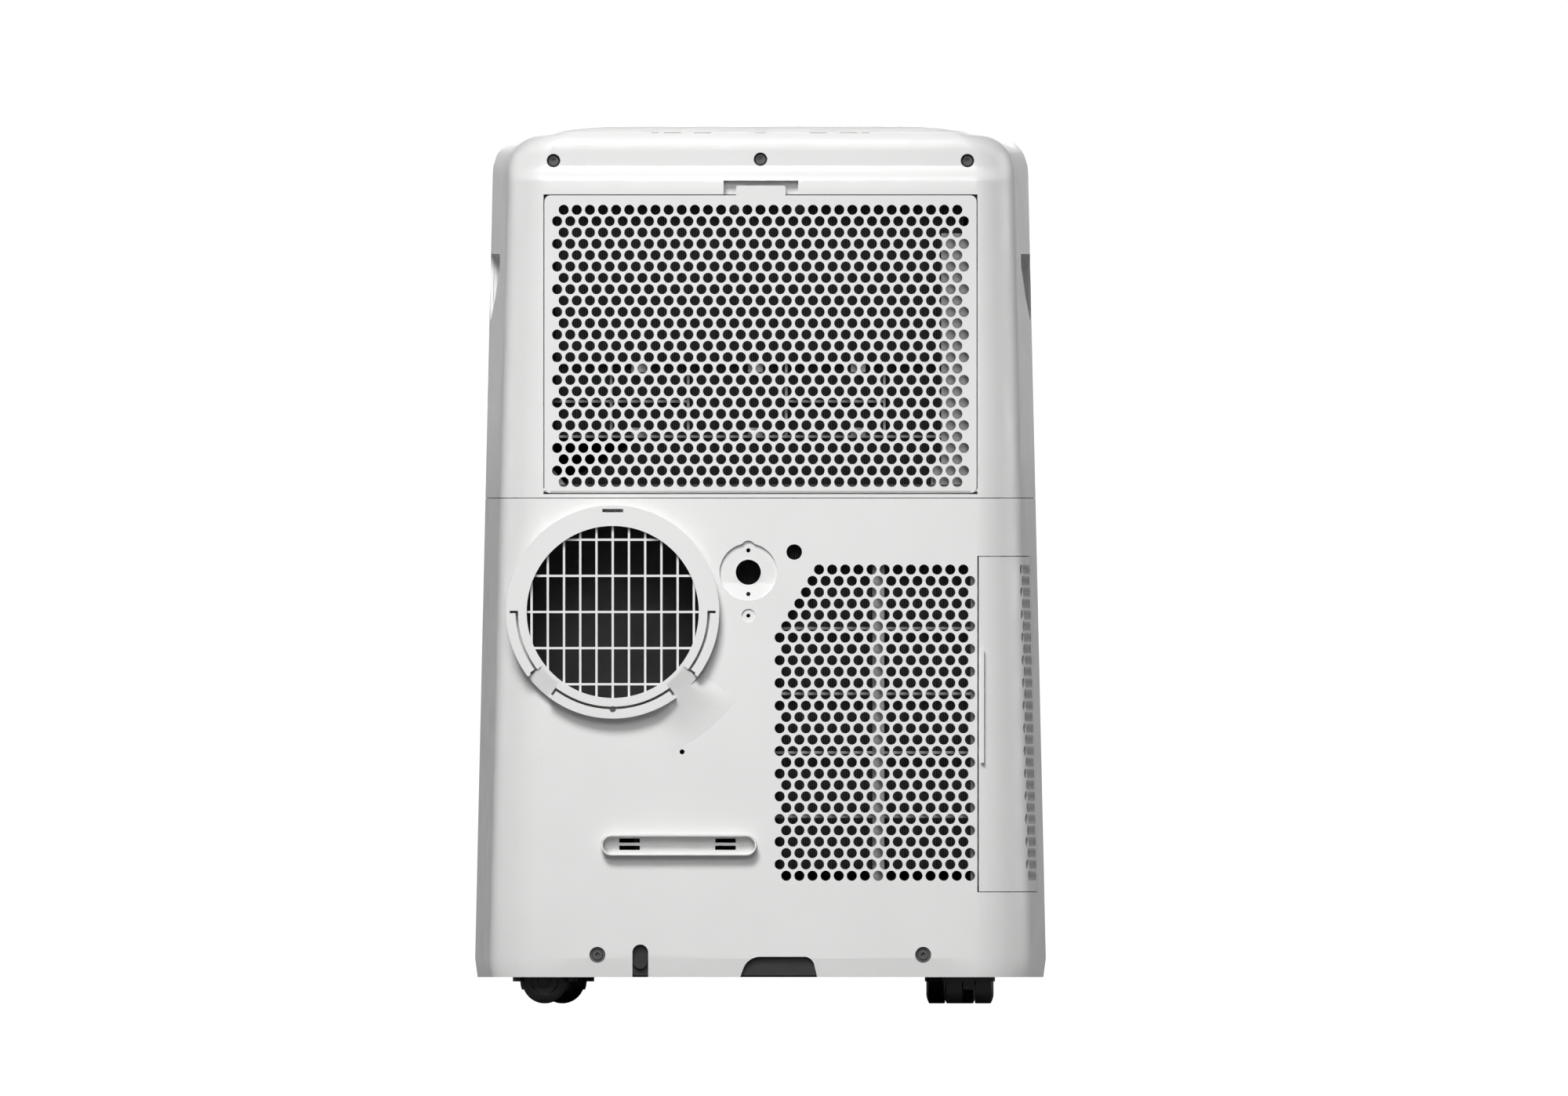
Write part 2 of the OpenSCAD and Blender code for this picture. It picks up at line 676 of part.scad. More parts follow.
module place_caster(k) {
    translate([caster_spots[k][0], caster_spots[k][1], 0]) rotate(caster_spots[k][2]) children();
}

module caster_fork(k) {
    color(black)
    place_caster(k) {
        difference() {
            linear_extrude(hood_top) rounded(-trail - 25.5, -trail + 25.5, -21, 21, 6);
            translate([-60, -40, -1]) cube([120, 80, 18.5]);
            for (side = [-1, 1]) translate([-trail, side * 4.4, wheel_r]) rotate([-90 * side, 0, 0])
                cylinder(r = wheel_r + 1, h = 30);
        }
        intersection() {
            translate([-trail, 4.4, wheel_r]) rotate([90, 0, 0]) cylinder(r = wheel_r + 1.5, h = 8.8);
            translate([-60, -10, 11]) cube([120, 20, hood_top - 12]);
        }
        translate([-trail, 19.5, wheel_r]) rotate([90, 0, 0]) cylinder(r = 3, h = 39);
        translate([0, 0, hood_top - 2]) cylinder(r = stem_r, h = 61 - hood_top + 2);
    }
}

// One wheel: flat inside face, domed outer face, hub recess.
module caster_wheel() {
    steps = 8;
    rotate_extrude()
        polygon(concat(
            [[3.05, 0], [wheel_r - 0.6, 0], [wheel_r, 0.6]],
            [for (k = [0:steps]) let (r = wheel_r - (wheel_r - 11) * k / steps)
                [r, wheel_w - 2.8 * pow(r / wheel_r, 4)]],
            [[10.4, wheel_w - 1.6], [5.4, wheel_w - 1.6], [5, wheel_w - 0.6], [3.05, wheel_w - 0.6]]));
}
module caster_wheels(k) {
    color(black)
    place_caster(k)
        for (side = [-1, 1])
            translate([-trail, side * 4.8, wheel_r]) rotate([-90 * side, 0, 0]) caster_wheel();
}

// ---- refrigeration ----

compressor_x = -98;
compressor_y = 45;
compressor_r = 56;
foot_angles = [90, 210, 330];
module compressor() {
    color(black) {
        z_cyl(compressor_r, 72, 195, compressor_x, compressor_y);
        translate([compressor_x, compressor_y, 195]) intersection() {
            scale(1) sphere(r = compressor_r);
            translate([-80, -80, -1]) cube([160, 160, 28]);
        }
        z_cyl(compressor_r - 8, 64, 73, compressor_x, compressor_y);
        for (a = foot_angles) translate([compressor_x, compressor_y, 60]) rotate(a) difference() {
            translate([20, -14, 0]) cube([58, 28, 4]);
            translate([68, 0, -1]) cylinder(r = 5.2, h = 6);
        }
        z_cyl(30, 60, 66, compressor_x, compressor_y);
        // suction accumulator, brazed to the shell
        z_cyl(18, 85, 195, -187, compressor_y);
        block(-172, -148, compressor_y - 4, compressor_y + 4, 170, 176);
        block(-172, -148, compressor_y - 4, compressor_y + 4, 100, 106);
    }
}
module compressor_feet() {
    color(dark)
    for (a = foot_angles) translate([compressor_x, compressor_y, 0]) rotate(a) translate([68, 0, 0]) {
        translate([0, 0, pan_floor]) cylinder(r = 10, h = 60 - pan_floor);
        translate([0, 0, pan_floor]) cylinder(r = 5.1, h = 22);
    }
}

// A finned coil: fin pack, end plates and hairpin bends on its right-hand end.
module coil(x0, x1, y0, y1, z0, z1, bends) {
    block(x0 + 1.5, x1 - 1.5, y0 + 1, y1 - 1, z0 + 1, z1 - 1);
    for (x = [x0, x1 - 1.5]) block(x, x + 1.5, y0, y1, z0, z1);
    step = (z1 - z0) / bends;
    for (k = [0:bends - 1]) translate([x1 - 0.2, (y0 + y1) / 2, z0 + (k + 0.5) * step])
        rotate([90, 0, 0]) rotate([0, 0, -90]) rotate_extrude(angle = 180)
            translate([step / 4, 0]) circle(3.6);
}
coil_y0 = -150;
module condenser_coil() { color(black) coil(12, 174, coil_y0, -112, 106, 372, 10); }
module evaporator_coil() { color(black) coil(-164, 162, coil_y0, -112, 405, 641, 9); }

module refrigerant_pipes() {
    color(copper) {
        pipe([[-98, 45, 222.05], [-98, 45, 236], [-150, 45, 236], [-150, -20, 236], [-150, -20, 216],
            [-150, -131, 216], [-30, -131, 216], [-30, -131, 150], [11.95, -131, 150]], 3.5);
        pipe([[-164.05, -120, 440], [-197, -120, 440], [-197, -120, 215], [-197, 20, 215],
            [-187, 45, 215], [-187, 45, 195.05]], 4);
        pipe([[11.95, -120, 365], [-30, -120, 365], [-30, -120, 404.95]], 3);
    }
}

// ---- fans ----

condenser_fan_x = 95;
condenser_fan_z = 215;
evaporator_fan_z = 512;
motor_bore_r = 4.05;
shaft_r = 4;

// A flat box with rounded ends around a fan: outline grown by g, thick from y0 to y1.
module condenser_shape(g) {
    hull() {
        translate([condenser_fan_x, condenser_fan_z]) circle(r = 98 + g, $fn = 96);
        translate([collar_x, collar_z]) circle(r = 73 + g, $fn = 96);
    }
}
module evaporator_shape(g) {
    translate([0, evaporator_fan_z]) circle(103 + g);
    translate([-98 - g, evaporator_fan_z]) square([196 + 2 * g, 141 + g]);
}
module condenser_scroll() {
    color(dark)
    difference() {
        plate_y(-106, -30) condenser_shape(0);
        plate_y(-103.5, -32.5) condenser_shape(-2.5);
        y_cyl(64, -110, -100, condenser_fan_x, condenser_fan_z);
        y_cyl(duct_r, -110, -100, collar_x, collar_z);
        y_cyl(10, -40, -20, condenser_fan_x, condenser_fan_z);
    }
}
module evaporator_scroll() {
    color([0.85, 0.85, 0.86])
    difference() {
        plate_y(-106, -12) evaporator_shape(0);
        plate_y(-103.5, -14.5) evaporator_shape(-2.5);
        y_cyl(72, -110, -100, 0, evaporator_fan_z);
        y_cyl(10, -20, -8, 0, evaporator_fan_z);
        block(-94, 94, -20, -8, 604, 650);
    }
}

module fan_wheel(x, z, r, y0, y1, blades) {
    ring_w = 17;
    translate([x, 0, z]) {
        plate_y(y1 - 2, y1) circle(r);
        plate_y(y0, y0 + 2) difference() {
            circle(r);
            circle(r - ring_w);
        }
        plate_y(y1 - 26, y1) circle(12);
        for (k = [0:blades - 1]) rotate([0, k * 360 / blades, 0])
            translate([r - ring_w + 0.5, y0 + 1, 0])
                rotate([0, 28, 0]) cube([ring_w - 2, y1 - y0 - 2, 1.4]);
        plate_y(y1 - 20, y1 + 30) circle(shaft_r);
    }
}
module condenser_fan() { color(black) fan_wheel(condenser_fan_x, condenser_fan_z, 78, -99, -38, 32); }
module evaporator_fan() { color(dark) fan_wheel(0, evaporator_fan_z, 84, -99, -22, 36); }

module fan_motor(x, z, y0, y1, r) {
    color(metal)
    difference() {
        union() {
            y_cyl(r, y0 + 3, y1, x, z);
            y_cyl(r * 0.6, y1 - 1, y1 + 6, x, z);
            for (a = [45:90:315])
                translate([x, y0, z]) rotate([0, a, 0]) translate([r - 8, 0, -6]) cube([16, 5, 12]);
        }
        y_cyl(motor_bore_r, y0 - 1, y0 + 30, x, z);
        y_cyl(12.5, y0 - 1, y0 + 2, x, z);
    }
}
module condenser_motor() { fan_motor(condenser_fan_x, condenser_fan_z, -29.8, 20, 40); }
module evaporator_motor() { fan_motor(0, evaporator_fan_z, -11.8, 38, 40); }

splash_x = 95;
splash_z = 77;
module splash_motor() {
    color(metal)
    difference() {
        union() {
            y_cyl(15, -84, -50, splash_x, splash_z);
            block(splash_x - 10, splash_x + 10, -80, -58, pan_floor, splash_z - 8);
        }
        y_cyl(3.05, -90, -60, splash_x, splash_z);
    }
}
module splash_wheel() {
    color(dark)
    translate([splash_x, 0, splash_z]) {
        plate_y(-94, -92) circle(26);
        plate_y(-98, -90) circle(8);
        for (a = [0:45:315]) rotate([0, a, 0]) translate([10, -98, -0.8]) cube([15, 5, 1.6]);
        plate_y(-98, -68) circle(3);
    }
}

module electrics_box() {
    color([0.75, 0.75, 0.76])
    difference() {
        block(30, 150, 58, 110, 262, 388);
        block(32, 148, 60, 111, 264, 386);
    }
}
module run_capacitor() {
    color(metal) {
        z_cyl(20, 186, 261.8, 62, 84);
        z_cyl(12, 182, 187, 62, 84);
    }
}

// ---- air outlet ----

outlet_half_w = 121;
outlet_z0 = 569;
outlet_z1 = 651;
flap_y = 151;
flap_z = 583;
vane_y = 118;
vane_spots = [-92, -46, 0, 46, 92];
link_arm = 18;
link_z = 610;

module front_shell() {
    front_levels = [skirt_z, bevel_z, 160, 300, 440, 580, dome_z, 669, 676, 682, 687, 691, cap_z];
    color(plastic)
    difference() {
        loft([for (z = front_levels) ring(front_plan(z, 0), z)]);
        loft([for (z = inner_levels(front_levels)) ring(front_plan(z, wall, split_y - 5), z - wall)]);
        block(-outlet_half_w, outlet_half_w, 120, 200, outlet_z0, outlet_z1);
    }
}

module outlet_duct() {
    color([0.78, 0.78, 0.78])
    intersection() {
        difference() {
            block(-outlet_half_w - 2, outlet_half_w + 2, -11.8, 190, outlet_z0 - 2, outlet_z1 + 2);
            block(-outlet_half_w, outlet_half_w, -12, 200, outlet_z0, outlet_z1);
            x_cyl(2.05, -140, 140, flap_y, flap_z);
            for (x = vane_spots) z_cyl(1.55, outlet_z0 - 10, outlet_z1 + 10, x, vane_y);
        }
        translate([0, 0, 560]) linear_extrude(100) polygon(full_plan(655, wall + 0.8));
    }
}

module louver_flap() {
    half = outlet_half_w - 1.2;
    color(plastic) {
        plate_y(flap_y + 7, flap_y + 9.6) rounded(-half, half, flap_z - 6, outlet_z1 - 4, 2);
        for (x = [-half, -40, 37, half - 3])
            block(x, x + 3, flap_y - 3, flap_y + 8, flap_z - 3, flap_z + 3);
        x_cyl(2, -half - 2.9, half + 2.9, flap_y, flap_z);
        for (z = [flap_z + 16, flap_z + 34, flap_z + 52])
            block(-half + 6, half - 6, flap_y + 5.6, flap_y + 7.2, z, z + 1.6);
    }
}
module louver_motor() {
    color(metal) {
        x_cyl(8, outlet_half_w + 2.1, outlet_half_w + 14, flap_y, flap_z);
        block(outlet_half_w + 2.1, outlet_half_w + 4, flap_y - 14, flap_y + 6, flap_z - 4, flap_z + 4);
    }
}

module vane(k) {
    x = vane_spots[k];
    color(plastic) {
        difference() {
            block(x - 0.8, x + 0.8, vane_y - 13, vane_y + 20, outlet_z0 + 1.2, outlet_z1 - 1.2);
            block(x - 5, x + 5, vane_y - 20, vane_y - 6, link_z - 6, link_z + 6);
        }
        z_cyl(1.5, outlet_z0 - 1.8, outlet_z1 + 1.8, x, vane_y);
        for (z = [link_z - 9, link_z + 6])
            block(x - 0.8, x + 0.8, vane_y - link_arm - 1.2, vane_y - 12, z, z + 3);
        z_cyl(1.2, link_z - 9, link_z + 9, x, vane_y - link_arm);
    }
}
module vane_link() {
    y = vane_y - link_arm;
    color(dark)
    difference() {
        block(-100, 100, y - 4, y + 7.5, link_z - 1.5, link_z + 1.5);
        for (x = vane_spots) block(x - 1.8, x + 1.8, y - 2, y + 5, link_z - 3, link_z + 3);
    }
}

// ---- top and controls ----

panel_half_w = 92;
panel_y0 = -72;
panel_y1 = 28;
panel_top = body_h - 0.5;
button_r = 7;
button_spots = [-70, -46, 46, 70];
rocker_half = [15, 7];
rocker_z = 693.2;
lens_box = [-40, 40, -60, -26];

module top_cover() {
    color(plastic)
    difference() {
        union() {
            difference() {
                loft([for (z = cap_levels) ring(full_plan(z, 0), z)]);
                loft([for (z = concat([cap_z], [for (k = [1:6]) cap_levels[k]]))
                    ring(full_plan(z, wall), z - wall)]);
            }
            block(-96, 96, panel_y0 - 4, panel_y1 + 4, 694.8, 698);
            for (x = [-84, 84]) for (y = [-64, 20]) z_cyl(3, 686, 695, x, y);
            for (y = [-rocker_half[1] - 3.4, rocker_half[1] + 1.4]) block(-4, 4, y, y + 2, 690, 695.5);
        }
        block(-panel_half_w, panel_half_w, panel_y0, panel_y1, 697.2, body_h + 1);
        block(lens_box[0], lens_box[1], lens_box[2], lens_box[3], 690, body_h);
        for (x = button_spots) z_cyl(button_r + 0.5, 690, body_h, x, 0);
        block(-rocker_half[0] - 0.8, rocker_half[0] + 0.8, -rocker_half[1] - 0.5, rocker_half[1] + 0.5,
            690, body_h);
        translate([0, 30, rocker_z]) rotate([90, 0, 0]) cylinder(r = 1.05, h = 60);
    }
}
module control_panel() {
    color([0.16, 0.16, 0.17])
    difference() {
        translate([0, 0, 697.25]) linear_extrude(panel_top - 697.25)
            rounded(-panel_half_w + 0.4, panel_half_w - 0.4, panel_y0 + 0.4, panel_y1 - 0.4, 3);
        for (x = button_spots) z_cyl(button_r + 0.4, 690, body_h, x, 0);
        block(-rocker_half[0] - 0.7, rocker_half[0] + 0.7, -rocker_half[1] - 0.4, rocker_half[1] + 0.4,
            690, body_h);
        block(lens_box[0] + 1.5, lens_box[1] - 1.5, lens_box[2] + 1.5, lens_box[3] - 1.5, 690, body_h);
    }
}
module display_lens() {
    color([0.1, 0.12, 0.14])
        block(lens_box[0] + 1.55, lens_box[1] - 1.55, lens_box[2] + 1.55, lens_box[3] - 1.55,
            696, panel_top);
}
module control_board() {
    color([0.1, 0.35, 0.2]) {
        block(-88, 88, -68, 24, 684.4, 686);
        for (x = button_spots) block(x - 3, x + 3, -3, 3, 686, 690.5);
        block(-36, 36, -56, -30, 686, 694);
    }
}
module push_button(k) {
    x = button_spots[k];
    color(plastic) {
        z_cyl(button_r, 692, body_h - 0.2, x, 0);
        z_cyl(button_r + 1.6, 692, 693.4, x, 0);
    }
}
module temperature_rocker() {
    color(plastic) {
        block(-rocker_half[0], rocker_half[0], -rocker_half[1], rocker_half[1], 694.6, body_h - 0.2);
        block(-3, 3, -rocker_half[1], rocker_half[1], 691.8, 695);
        translate([0, rocker_half[1] + 3.2, rocker_z])
            rotate([90, 0, 0]) cylinder(r = 1, h = 2 * rocker_half[1] + 6.4);
    }
}

base_pan();
front_shell();
rear_upper_cover();
rear_lower_cover();
top_cover();
control_panel();
display_lens();
control_board();
exhaust_collar();
exhaust_grid();
cord_hook_socket();
drain_port();
bottom_drain_plug();
cover_screws();
side_grips();
upper_filter_frame();
upper_filter_net();
upper_filter_guide();
lower_filter_door();
lower_filter_net();
lower_filter_guide();
mid_deck();
compressor();
compressor_feet();
condenser_coil();
evaporator_coil();
refrigerant_pipes();
condenser_scroll();
condenser_motor();
condenser_fan();
evaporator_scroll();
evaporator_motor();
evaporator_fan();
splash_motor();
splash_wheel();
electrics_box();
run_capacitor();
outlet_duct();
louver_flap();
louver_motor();
vane(0);  // vane_1
vane(1);  // vane_2
vane(2);  // vane_3
vane(3);  // vane_4
vane(4);  // vane_5
vane_link();
push_button(0);  // power_button
push_button(1);  // mode_button
push_button(2);  // fan_button
push_button(3);  // timer_button
temperature_rocker();
caster_fork(0);  // caster_fork_rear_left
caster_fork(1);  // caster_fork_rear_right
caster_fork(2);  // caster_fork_front_left
caster_fork(3);  // caster_fork_front_right
caster_wheels(0);  // caster_wheels_rear_left
caster_wheels(1);  // caster_wheels_rear_right
caster_wheels(2);  // caster_wheels_front_left
caster_wheels(3);  // caster_wheels_front_right
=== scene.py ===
"""Looks of the portable air conditioner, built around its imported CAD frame.

Metres, +Z up, service side at -Y.
"""

import json
import math

import bmesh
import bpy
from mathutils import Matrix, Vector


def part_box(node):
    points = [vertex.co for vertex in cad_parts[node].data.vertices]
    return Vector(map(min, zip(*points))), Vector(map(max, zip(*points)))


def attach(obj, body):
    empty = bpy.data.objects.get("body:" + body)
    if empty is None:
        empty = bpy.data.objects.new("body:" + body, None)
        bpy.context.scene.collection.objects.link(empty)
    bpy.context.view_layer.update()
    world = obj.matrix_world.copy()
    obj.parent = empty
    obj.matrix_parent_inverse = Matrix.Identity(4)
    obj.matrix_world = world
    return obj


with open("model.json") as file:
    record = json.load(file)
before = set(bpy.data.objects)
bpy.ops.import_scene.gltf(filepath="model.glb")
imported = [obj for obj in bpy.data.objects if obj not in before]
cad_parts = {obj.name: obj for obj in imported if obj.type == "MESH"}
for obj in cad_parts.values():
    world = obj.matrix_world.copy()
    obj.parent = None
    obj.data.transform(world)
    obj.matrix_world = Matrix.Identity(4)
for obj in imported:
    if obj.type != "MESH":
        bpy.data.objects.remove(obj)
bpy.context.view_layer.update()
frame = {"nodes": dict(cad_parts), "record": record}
nodes = frame["nodes"]
MM = 0.001


# ---- procedural materials ----

WEAR_SCALE = 0.4         # size of the blotches in the gloss, against those in the colour
GRAIN_STRENGTH = 0.35
BRUSH_STRETCH = (1, 1, 40)
FIN_PITCH = 0.0018       # metres from fin to fin
FIN_DEPTH = 0.0008
FIN_STRENGTH = 0.8
FIN_GAP_SHADE, FIN_EDGE_HIGHLIGHT = 0.15, 1.6    # painted shade in the gaps and painted highlight on the fins' edges, as brightness against the coating
WAVE_RATE = 20           # radians that Blender's wave texture turns through per unit of scale and length


def link(tree, source, output, target, socket):
    tree.links.new(source.outputs[output], target.inputs[socket])


def noise(tree, coords, size, detail=2.0):
    """Noise whose blotches are about `size` metres across."""
    node = tree.nodes.new("ShaderNodeTexNoise")
    node.inputs["Scale"].default_value = 1.0 / size
    node.inputs["Detail"].default_value = detail
    link(tree, coords, "Object", node, "Vector")
    return node


def ramp(tree, source, low, high, low_at=0.35, high_at=0.65):
    """A colour ramp from `low` to `high`, driven by a texture's value."""
    node = tree.nodes.new("ShaderNodeValToRGB")
    node.color_ramp.elements[0].position = low_at
    node.color_ramp.elements[0].color = low
    node.color_ramp.elements[1].position = high_at
    node.color_ramp.elements[1].color = high
    link(tree, source, "Fac", node, "Fac")
    return node


def grey(value):
    return (value, value, value, 1.0)


def tinted(colour, factor):
    return tuple(min(1.0, c * factor) for c in colour) + (1.0,)


def surface(name, colour, roughness, metallic=0.0, grain=0.0006, depth=0.00001, blotch=0.06,
            variation=0.03, rough_variation=0.06, coat=0.0, specular=0.5):
    """A moulded, cast or painted finish: fine grain in the bump, slow drift in colour and gloss.

    `grain`, `depth` and `blotch` are in metres."""
    material = bpy.data.materials.new(name)
    material.use_nodes = True
    tree = material.node_tree
    shader = tree.nodes["Principled BSDF"]
    shader.inputs["Metallic"].default_value = metallic
    shader.inputs["Coat Weight"].default_value = coat
    shader.inputs["Specular IOR Level"].default_value = specular
    coords = tree.nodes.new("ShaderNodeTexCoord")

    drift = noise(tree, coords, blotch)
    tint = ramp(tree, drift, tinted(colour, 1 - variation), tinted(colour, 1 + variation))
    link(tree, tint, "Color", shader, "Base Color")

    wear = noise(tree, coords, blotch * WEAR_SCALE, 4.0)
    gloss = ramp(tree, wear, grey(roughness - rough_variation), grey(roughness + rough_variation))
    link(tree, gloss, "Color", shader, "Roughness")

    texture = noise(tree, coords, grain, 3.0)
    bump = tree.nodes.new("ShaderNodeBump")
    bump.inputs["Strength"].default_value = GRAIN_STRENGTH
    bump.inputs["Distance"].default_value = depth
    link(tree, texture, "Fac", bump, "Height")
    link(tree, bump, "Normal", shader, "Normal")
    return material


def brushed(name, colour, roughness):
    """Drawn or rolled metal: noise stretched into fine lines."""
    material = surface(name, colour, roughness, metallic=1.0, variation=0.05)
    tree = material.node_tree
    coords = next(n for n in tree.nodes if n.type == "TEX_COORD")
    mapping = tree.nodes.new("ShaderNodeMapping")
    mapping.inputs["Scale"].default_value = BRUSH_STRETCH
    link(tree, coords, "Object", mapping, "Vector")
    for texture in [n for n in tree.nodes if n.type == "TEX_NOISE"]:
        link(tree, mapping, "Vector", texture, "Vector")
    return material


def fins(name, colour, roughness):
    """Coated fins stacked along X: painted highlights on the edges, with painted shade in the gaps
    between them.
    """
    material = surface(name, colour, roughness)
    tree = material.node_tree
    shader = tree.nodes["Principled BSDF"]
    coords = next(n for n in tree.nodes if n.type == "TEX_COORD")
    bands = tree.nodes.new("ShaderNodeTexWave")
    bands.bands_direction = "X"
    bands.inputs["Scale"].default_value = 2 * math.pi / (WAVE_RATE * FIN_PITCH)
    link(tree, coords, "Object", bands, "Vector")
    # Painted shade in the gaps between the fins and painted highlights on their edges.
    gap_shade_and_edge_highlight = ramp(tree, bands, tinted(colour, FIN_GAP_SHADE), tinted(colour, FIN_EDGE_HIGHLIGHT), 0.30, 0.80)
    link(tree, gap_shade_and_edge_highlight, "Color", shader, "Base Color")
    groove = tree.nodes.new("ShaderNodeBump")
    groove.inputs["Strength"].default_value = FIN_STRENGTH
    groove.inputs["Distance"].default_value = FIN_DEPTH
    link(tree, bands, "Fac", groove, "Height")
    link(tree, groove, "Normal", shader, "Normal")
    return material


WHITE = (0.72, 0.72, 0.715)
MATERIALS = {
    "white_plastic": surface("white_plastic", WHITE, 0.42, grain=0.0007, variation=0.008),
    "grey_plastic": surface("grey_plastic", (0.30, 0.30, 0.30), 0.50),
    "dark_plastic": surface("dark_plastic", (0.018, 0.018, 0.019), 0.45, variation=0.12),
    "rubber": surface("rubber", (0.028, 0.028, 0.028), 0.75, variation=0.15, grain=0.0004,
                      depth=0.00003),
    "caster_plastic": surface("caster_plastic", (0.022, 0.022, 0.023), 0.32, variation=0.2),
    "black_enamel": surface("black_enamel", (0.014, 0.014, 0.015), 0.25, grain=0.0012,
                            depth=0.00003, coat=0.3),
    "fin_coating": fins("fin_coating", (0.035, 0.037, 0.040), 0.45),
    "copper": brushed("copper", (0.72, 0.36, 0.22), 0.30),
    "motor_steel": brushed("motor_steel", (0.55, 0.56, 0.57), 0.35),
    # Screw steel kept very dark: partly the screws' own metal, partly painted shade for their deep,
    # unlit recesses.
    "screw_steel": surface("screw_steel", (0.085, 0.085, 0.085), 0.45, metallic=0.3),
    "galvanised_sheet": surface("galvanised_sheet", (0.55, 0.56, 0.57), 0.38, metallic=0.8,
                                blotch=0.012, variation=0.14),
    "board": surface("board", (0.02, 0.16, 0.07), 0.30, grain=0.0015, variation=0.10),
    "lens": surface("lens", (0.01, 0.01, 0.012), 0.08, variation=0.1, rough_variation=0.02, coat=1.0),
}


# ---- finishing the CAD nodes ----

WELD_DISTANCE = 0.004 * MM
SHARP_ANGLE = 32         # degrees: sharper edges stay sharp in the shading
BEVEL_ANGLE = 40         # degrees: sharper edges are rounded
FLATTEN_ANGLE = 0.4      # degrees: faces closer than this to one plane are joined


def sharp_by_angle(limit):
    """A geometry-node group that shades smooth, except across edges sharper than the limit."""
    group = bpy.data.node_groups.new("sharp_by_angle", "GeometryNodeTree")
    group.interface.new_socket("Geometry", in_out="INPUT", socket_type="NodeSocketGeometry")
    group.interface.new_socket("Geometry", in_out="OUTPUT", socket_type="NodeSocketGeometry")
    start = group.nodes.new("NodeGroupInput")
    end = group.nodes.new("NodeGroupOutput")
    smooth = group.nodes.new("GeometryNodeSetShadeSmooth")
    smooth.domain = "FACE"
    sharpen = group.nodes.new("GeometryNodeSetShadeSmooth")
    sharpen.domain = "EDGE"
    sharpen.inputs["Shade Smooth"].default_value = False
    angle = group.nodes.new("GeometryNodeInputMeshEdgeAngle")
    compare = group.nodes.new("FunctionNodeCompare")
    compare.operation = "GREATER_THAN"
    compare.inputs[1].default_value = limit
    link(group, start, 0, smooth, "Geometry")
    link(group, smooth, 0, sharpen, "Geometry")
    link(group, angle, "Unsigned Angle", compare, 0)
    link(group, compare, 0, sharpen, "Selection")
    link(group, sharpen, 0, end, 0)
    return group


SHARPEN = sharp_by_angle(math.radians(SHARP_ANGLE))


def finish(obj, bevel=0.0, segments=2, flatten=FLATTEN_ANGLE):
    """Joins the shading of curved faces, rounds the sharp edges, and keeps flat faces flat.

    `bevel` is in millimetres and `flatten` in degrees; at 0 each is left out."""
    weld = obj.modifiers.new("weld", "WELD")
    weld.merge_threshold = WELD_DISTANCE
    if flatten:
        merge = obj.modifiers.new("flatten", "DECIMATE")
        merge.decimate_type = "DISSOLVE"
        merge.angle_limit = math.radians(flatten)
    if bevel:
        edge = obj.modifiers.new("edges", "BEVEL")
        edge.width = bevel * MM
        edge.segments = segments
        edge.limit_method = "ANGLE"
        edge.angle_limit = math.radians(BEVEL_ANGLE)
        edge.use_clamp_overlap = True
    shade = obj.modifiers.new("shade", "NODES")
    shade.node_group = SHARPEN
    weights = obj.modifiers.new("weights", "WEIGHTED_NORMAL")
    weights.keep_sharp = True


# Width in millimetres and number of segments of the rounding, by node
BEVELS = {
    "exhaust_collar": (0.7, 3), "exhaust_grid": (0.3, 2), "cord_hook_socket": (0.6, 3),
    "drain_port": (0.3, 2), "side_grips": (0.3, 2), "outlet_duct": (0.4, 2), "louver_flap": (0.5, 2),
    "base_pan": (0.5, 2), "mid_deck": (0.4, 2), "control_panel": (0.3, 2), "display_lens": (0.2, 2),
    "compressor": (1.5, 3), "compressor_feet": (1.0, 3), "electrics_box": (0.4, 2),
    "run_capacitor": (1.2, 3), "condenser_motor": (1.2, 3), "evaporator_motor": (1.2, 3),
    "splash_motor": (0.8, 2), "splash_wheel": (0.3, 2), "condenser_scroll": (0.5, 2),
    "evaporator_scroll": (0.5, 2), "bottom_drain_plug": (0.5, 2), "temperature_rocker": (0.4, 3),
    "louver_motor": (0.5, 2), "vane_link": (0.2, 2), "control_board": (0.15, 1),
    "upper_filter_guide": (0.3, 1), "lower_filter_guide": (0.3, 1),
}
PERFORATED = ("upper_filter_frame", "rear_lower_cover", "lower_filter_door")
for k in range(1, 6):
    BEVELS[f"vane_{k}"] = (0.3, 2)
for key in ("power", "mode", "fan", "timer"):
    BEVELS[f"{key}_button"] = (0.5, 3)
for place in ("rear_left", "rear_right", "front_left", "front_right"):
    BEVELS[f"caster_fork_{place}"] = (0.5, 2)
    BEVELS[f"caster_wheels_{place}"] = (0.4, 2)

for part in frame["record"]["subparts"]:
    obj = nodes[part["node"]]
    obj.data.materials.clear()
    obj.data.materials.append(MATERIALS[part["material_slot"]])
    bevel, segments = BEVELS.get(part["node"], (0.0, 1))
    finish(obj, bevel, segments, flatten=0 if part["node"] in PERFORATED else FLATTEN_ANGLE)


# ---- dark cup washers round the screw heads: painted shade for the deep screw recesses ----

HEAD_DEPTH = 2.4 * MM
HEAD_R = 3.95 * MM
UPPER_Z = 0.35           # metres: the screws above are the upper cover's, the ones below the skirt's
UPPER_RIM_R = 5.3 * MM
LOWER_RIM_R = 6.3 * MM
SHADE_WASHER_GAP = 0.05 * MM   # from the seat to the washer's back
SHADE_WASHER_RISE = 1.5 * MM   # from the seat to the rim's edge
SHADE_WASHER_DISH = 0.7 * MM   # from the seat to the front, beside the screw's head
RIM_WALL = 0.4 * MM
SCREW_CELL = 0.05        # metres: cell along X that tells one screw from the next
SHADE_WASHER_STEPS = 48


